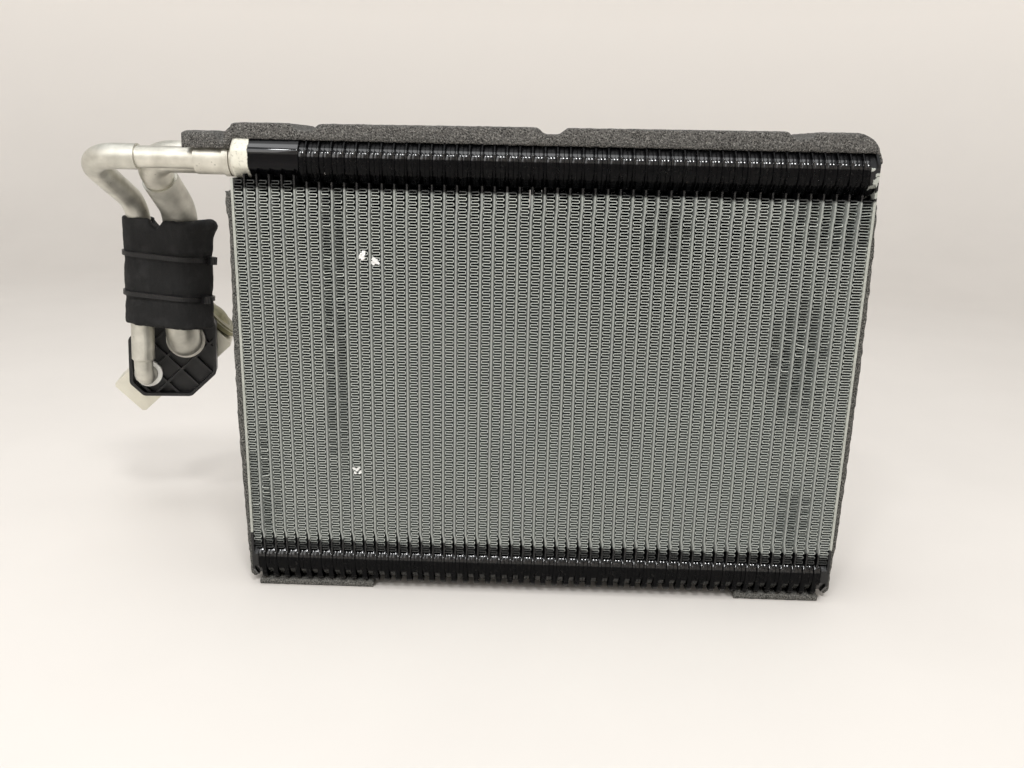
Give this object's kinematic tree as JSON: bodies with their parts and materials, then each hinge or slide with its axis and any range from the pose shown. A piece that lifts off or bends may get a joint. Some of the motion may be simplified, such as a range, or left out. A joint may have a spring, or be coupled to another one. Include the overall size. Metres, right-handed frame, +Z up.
{
  "type": "air conditioner evaporator core",
  "caption": "Plate-fin evaporator core of a vehicle air conditioner, with foam seals, two refrigerant pipes and a block expansion valve.",
  "frame": {"origin": "middle of the lower face of the left foam pad, the one under the end with the pipes", "axes": "+X along the core towards the end without pipes, +Y from the air side with the front branch towards the side with the valve, +Z up"},
  "size_m": [0.4304, 0.136, 0.2425],
  "materials": {
    "tube_elements": "bare brazed sheet, tanks coated black",
    "air_fins": "thin folded sheet with a grey-green water-shedding coat",
    "end_plate_left": "bare brazed sheet",
    "end_plate_right": "bare brazed sheet",
    "header_connector": "glossy black coat, bare at its left end",
    "pipe_junction": "satin, as cast and brushed",
    "liquid_pipe": "satin drawn tube",
    "suction_pipe": "satin drawn tube",
    "valve_body": "machined block, dull pale",
    "power_head_cup": "steel with a yellow-green passivated plating",
    "diaphragm": "thin spring steel",
    "power_head_dome": "steel with a yellow-green passivated plating",
    "sensing_rod": "turned",
    "metering_ball": "ground ball",
    "valve_spring": "spring wire",
    "adjusting_plug": "machined",
    "clamp_plate": "machined",
    "clamp_screw": "plated",
    "valve_cover": "black moulding, faint sheen",
    "suction_collar": "black",
    "port_washer": "white",
    "liquid_seal": "smooth",
    "suction_seal": "smooth",
    "pipe_wrap": "black foam tape, matte",
    "cable_tie_upper": "black nylon, slight sheen",
    "cable_tie_lower": "black nylon, slight sheen",
    "foam_top": "open-cell foam, grainy",
    "foam_left": "open-cell foam, grainy",
    "foam_right": "open-cell foam, grainy",
    "pad_left": "open-cell foam, grainy",
    "pad_right": "open-cell foam, grainy"
  },
  "bodies": {
    "root": {"tube_elements": "tube_elements", "air_fins": "air_fins", "end_plate_left": "end_plate_left", "end_plate_right": "end_plate_right", "header_connector": "header_connector", "pipe_junction": "pipe_junction", "liquid_pipe": "liquid_pipe", "suction_pipe": "suction_pipe", "valve_body": "valve_body", "power_head_cup": "power_head_cup", "diaphragm": "diaphragm", "power_head_dome": "power_head_dome", "sensing_rod": "sensing_rod", "metering_ball": "metering_ball", "valve_spring": "valve_spring", "adjusting_plug": "adjusting_plug", "clamp_plate": "clamp_plate", "clamp_screw": "clamp_screw", "valve_cover": "valve_cover", "suction_collar": "suction_collar", "port_washer": "port_washer", "liquid_seal": "liquid_seal", "suction_seal": "suction_seal", "pipe_wrap": "pipe_wrap", "cable_tie_upper": "cable_tie_upper", "cable_tie_lower": "cable_tie_lower", "foam_top": "foam_top", "foam_left": "foam_left", "foam_right": "foam_right", "pad_left": "pad_left", "pad_right": "pad_right"}
  },
  "joints": []
}
